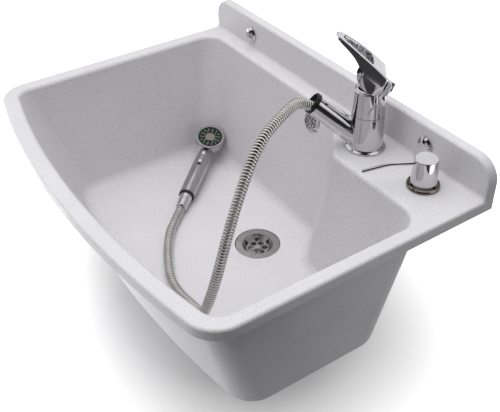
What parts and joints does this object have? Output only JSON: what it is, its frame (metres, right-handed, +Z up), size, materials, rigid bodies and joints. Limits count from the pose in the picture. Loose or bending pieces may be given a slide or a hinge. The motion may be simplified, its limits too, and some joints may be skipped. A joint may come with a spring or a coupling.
{
  "type": "wall-hung laundry sink with spray tap",
  "caption": "Deep wall-hung laundry sink with splashback, pull-style spray tap on a ribbed hose, loop lever, soap pump, strainer and overflow.",
  "frame": {"origin": "centre of the back plane at the height of the rim's top", "axes": "+X to the right facing the sink, +Y towards the wall, +Z up"},
  "size_m": [0.6, 0.4303, 0.4411],
  "materials": {
    "cast_stone": "satin cast mineral composite with fine speckle",
    "chrome": "polished",
    "dark_chrome": "polished, dark",
    "satin_chrome": "satin",
    "dark_steel": "brushed, dark",
    "steel": "brushed",
    "brass": "turned",
    "black_rubber": "matte",
    "green_rubber": "satin",
    "black_plastic": "semi-gloss",
    "grey_plastic": "fine grain",
    "white_plastic": "fine grain"
  },
  "bodies": {
    "sink": {"basin": "cast_stone", "wall_screw_caps": "chrome", "wall_screw_washers": "white_plastic", "strainer_flange": "dark_steel", "strainer_screw": "steel", "strainer_gasket": "black_rubber", "waste_body": "white_plastic", "waste_seal": "black_rubber", "overflow_rosette": "chrome", "overflow_screw": "steel", "overflow_elbow": "white_plastic", "overflow_seal": "black_rubber", "overflow_pipe": "white_plastic", "tap_base_gasket": "black_rubber", "tap_base_ring": "chrome", "tap_body": "chrome", "tap_upper_body": "chrome", "cartridge": "grey_plastic", "cartridge_nut": "brass", "tap_shank": "brass", "shank_gasket": "black_rubber", "shank_washer": "steel", "shank_nut": "brass", "hose_guide": "black_plastic", "hose_ferrule": "brass", "hose": "satin_chrome", "hose_nut": "chrome", "hose_washer": "black_rubber", "spray_handle": "satin_chrome", "spray_bezel": "chrome", "spray_faceplate": "black_plastic", "spray_nozzles": "green_rubber", "spray_centre_disc": "dark_chrome", "dispenser_collar": "dark_chrome", "dispenser_gasket": "black_rubber", "dispenser_nut": "white_plastic", "pump_cylinder": "white_plastic", "pump_spring": "steel"},
    "turret": {"stem_carrier": "grey_plastic", "stem_pin": "steel"},
    "lever_arm": {"lever": "chrome", "cartridge_stem": "brass", "lever_screw": "steel", "lever_index_cap": "grey_plastic"},
    "pump_plunger": {"pump_stem": "white_plastic"},
    "pump_cap": {"pump_head": "chrome", "pump_nozzle": "chrome"},
    "spray_slider": {"spray_selector": "chrome"}
  },
  "joints": [
    {"name": "lever_turn", "type": "hinge", "parent": "sink", "child": "turret", "pos_m": [0.126, -0.05, 0.08], "axis": [0, 0, 1], "range_deg": [-45, 45]},
    {"name": "lever_lift", "type": "hinge", "parent": "turret", "child": "lever_arm", "pos_m": [0.126, -0.05, 0.08], "axis": [-0.7771, 0.6293, 0], "range_deg": [-16, 9]},
    {"name": "pump_press", "type": "slide", "parent": "sink", "child": "pump_plunger", "axis": [0, 0, -1], "range_m": [0, 0.006], "stiffness_N_per_m": 300, "springref_m": -0.01, "deforming": ["pump_spring"]},
    {"name": "pump_turn", "type": "hinge", "parent": "pump_plunger", "child": "pump_cap", "pos_m": [0.233, -0.05, 0.02], "axis": [0, 0, 1], "range_deg": [-75, 140]},
    {"name": "spray_select", "type": "slide", "parent": "sink", "child": "spray_slider", "axis": [-0.6581, 0.7441, 0.115], "range_m": [-0.003, 0.003]}
  ]
}
